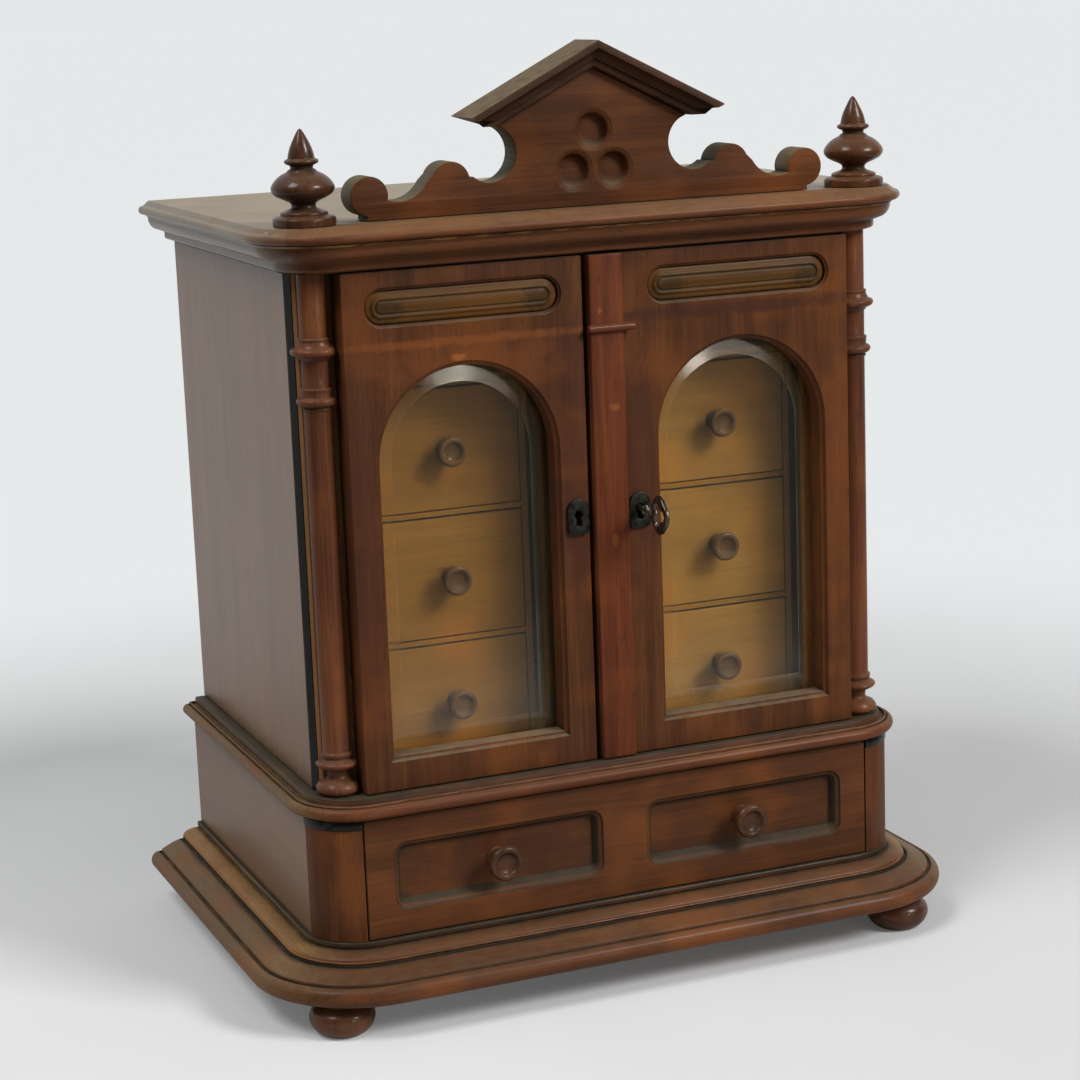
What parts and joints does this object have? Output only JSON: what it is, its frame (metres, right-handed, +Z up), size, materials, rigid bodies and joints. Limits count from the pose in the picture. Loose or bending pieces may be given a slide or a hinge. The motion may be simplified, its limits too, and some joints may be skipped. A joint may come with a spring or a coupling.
{
  "type": "tabletop collectors cabinet",
  "caption": "Small walnut collectors cabinet: arched bevel-glazed doors over inner drawers, a plinth drawer, turned corner columns, moulded cornice, finials, gabled pediment, bun feet",
  "frame": {"origin": "middle of the bounding box on the floor under the feet", "axes": "+Z up, -Y is the front with the doors, +X is to the right seen from the front"},
  "size_m": [0.408, 0.2744, 0.5021],
  "materials": {
    "walnut": "waxed dark red-brown",
    "ochre_wood": "worn yellow-brown",
    "ebonised": "glossy black stain",
    "plate_glass": "polished, bevelled",
    "blackened_steel": "blackened"
  },
  "bodies": {
    "cabinet": {"base_board": "walnut", "plinth_board": "walnut", "foot_front_left": "walnut", "foot_front_right": "walnut", "foot_back_left": "walnut", "foot_back_right": "walnut", "plinth_side_left": "walnut", "plinth_side_right": "walnut", "corner_post_left": "walnut", "corner_post_right": "walnut", "post_collar_left": "ebonised", "post_collar_right": "ebonised", "case_side_left": "walnut", "case_side_right": "walnut", "ebonised_strip_left": "ebonised", "ebonised_strip_right": "ebonised", "front_stile_left": "walnut", "front_stile_right": "walnut", "column_left": "walnut", "column_right": "walnut", "finial_left": "walnut", "finial_right": "walnut", "plinth_back": "walnut", "waist_board": "walnut", "case_back": "walnut", "mullion": "walnut", "drawer_rack": "ochre_wood", "cornice_board": "walnut", "top_board": "walnut", "pediment_board": "walnut", "gable_moulding": "walnut"},
    "plinth_drawer": {"plinth_drawer_front": "walnut", "plinth_drawer_box": "ochre_wood", "plinth_drawer_knob_left": "walnut", "plinth_drawer_knob_right": "walnut"},
    "left_door": {"left_door_frame": "walnut", "left_door_glass": "plate_glass", "left_door_panel": "ochre_wood", "left_escutcheon": "blackened_steel"},
    "right_door": {"right_door_frame": "walnut", "right_door_glass": "plate_glass", "right_door_panel": "ochre_wood", "right_escutcheon": "blackened_steel", "meeting_strip": "walnut", "strip_astragal": "walnut", "lock_case": "blackened_steel"},
    "key": {"key": "blackened_steel"},
    "lock_bolt": {"lock_bolt": "blackened_steel"},
    "inner_drawer_left_1": {"inner_drawer_left_1": "ochre_wood", "inner_knob_left_1": "ochre_wood"},
    "inner_drawer_left_2": {"inner_drawer_left_2": "ochre_wood", "inner_knob_left_2": "ochre_wood"},
    "inner_drawer_left_3": {"inner_drawer_left_3": "ochre_wood", "inner_knob_left_3": "ochre_wood"},
    "inner_drawer_right_1": {"inner_drawer_right_1": "ochre_wood", "inner_knob_right_1": "ochre_wood"},
    "inner_drawer_right_2": {"inner_drawer_right_2": "ochre_wood", "inner_knob_right_2": "ochre_wood"},
    "inner_drawer_right_3": {"inner_drawer_right_3": "ochre_wood", "inner_knob_right_3": "ochre_wood"}
  },
  "joints": [
    {"name": "plinth_drawer_slide", "type": "slide", "parent": "cabinet", "child": "plinth_drawer", "axis": [0, -1, 0], "range_m": [0, 0.15]},
    {"name": "left_door_hinge", "type": "hinge", "parent": "cabinet", "child": "left_door", "pos_m": [-0.1364, -0.09475, 0.25785], "axis": [0, 0, -1], "range_deg": [0, 120]},
    {"name": "right_door_hinge", "type": "hinge", "parent": "cabinet", "child": "right_door", "pos_m": [0.1364, -0.09475, 0.25785], "axis": [0, 0, 1], "range_deg": [0, 120]},
    {"name": "key_turn", "type": "hinge", "parent": "right_door", "child": "key", "pos_m": [0.0163, -0.09285, 0.2575], "axis": [0, 1, 0], "range_deg": [0, 90]},
    {"name": "lock_bolt_slide", "type": "slide", "parent": "right_door", "child": "lock_bolt", "axis": [-1, 0, 0], "range_m": [0, 0.006]},
    {"name": "inner_drawer_slide_left_1", "type": "slide", "parent": "cabinet", "child": "inner_drawer_left_1", "axis": [0, -1, 0], "range_m": [0, 0.0684]},
    {"name": "inner_drawer_slide_left_2", "type": "slide", "parent": "cabinet", "child": "inner_drawer_left_2", "axis": [0, -1, 0], "range_m": [0, 0.0684]},
    {"name": "inner_drawer_slide_left_3", "type": "slide", "parent": "cabinet", "child": "inner_drawer_left_3", "axis": [0, -1, 0], "range_m": [0, 0.0684]},
    {"name": "inner_drawer_slide_right_1", "type": "slide", "parent": "cabinet", "child": "inner_drawer_right_1", "axis": [0, -1, 0], "range_m": [0, 0.0684]},
    {"name": "inner_drawer_slide_right_2", "type": "slide", "parent": "cabinet", "child": "inner_drawer_right_2", "axis": [0, -1, 0], "range_m": [0, 0.0684]},
    {"name": "inner_drawer_slide_right_3", "type": "slide", "parent": "cabinet", "child": "inner_drawer_right_3", "axis": [0, -1, 0], "range_m": [0, 0.0684]}
  ],
  "couplings": [
    {"joint": "lock_bolt_slide", "follows": "key_turn", "m_per_rad": 0.0038},
    {"joint": "inner_drawer_slide_left_1", "follows": "left_door_hinge", "m_per_rad": 0.0326},
    {"joint": "inner_drawer_slide_left_2", "follows": "left_door_hinge", "m_per_rad": 0.0326},
    {"joint": "inner_drawer_slide_left_3", "follows": "left_door_hinge", "m_per_rad": 0.0326},
    {"joint": "inner_drawer_slide_right_1", "follows": "right_door_hinge", "m_per_rad": 0.0326},
    {"joint": "inner_drawer_slide_right_2", "follows": "right_door_hinge", "m_per_rad": 0.0326},
    {"joint": "inner_drawer_slide_right_3", "follows": "right_door_hinge", "m_per_rad": 0.0326}
  ]
}
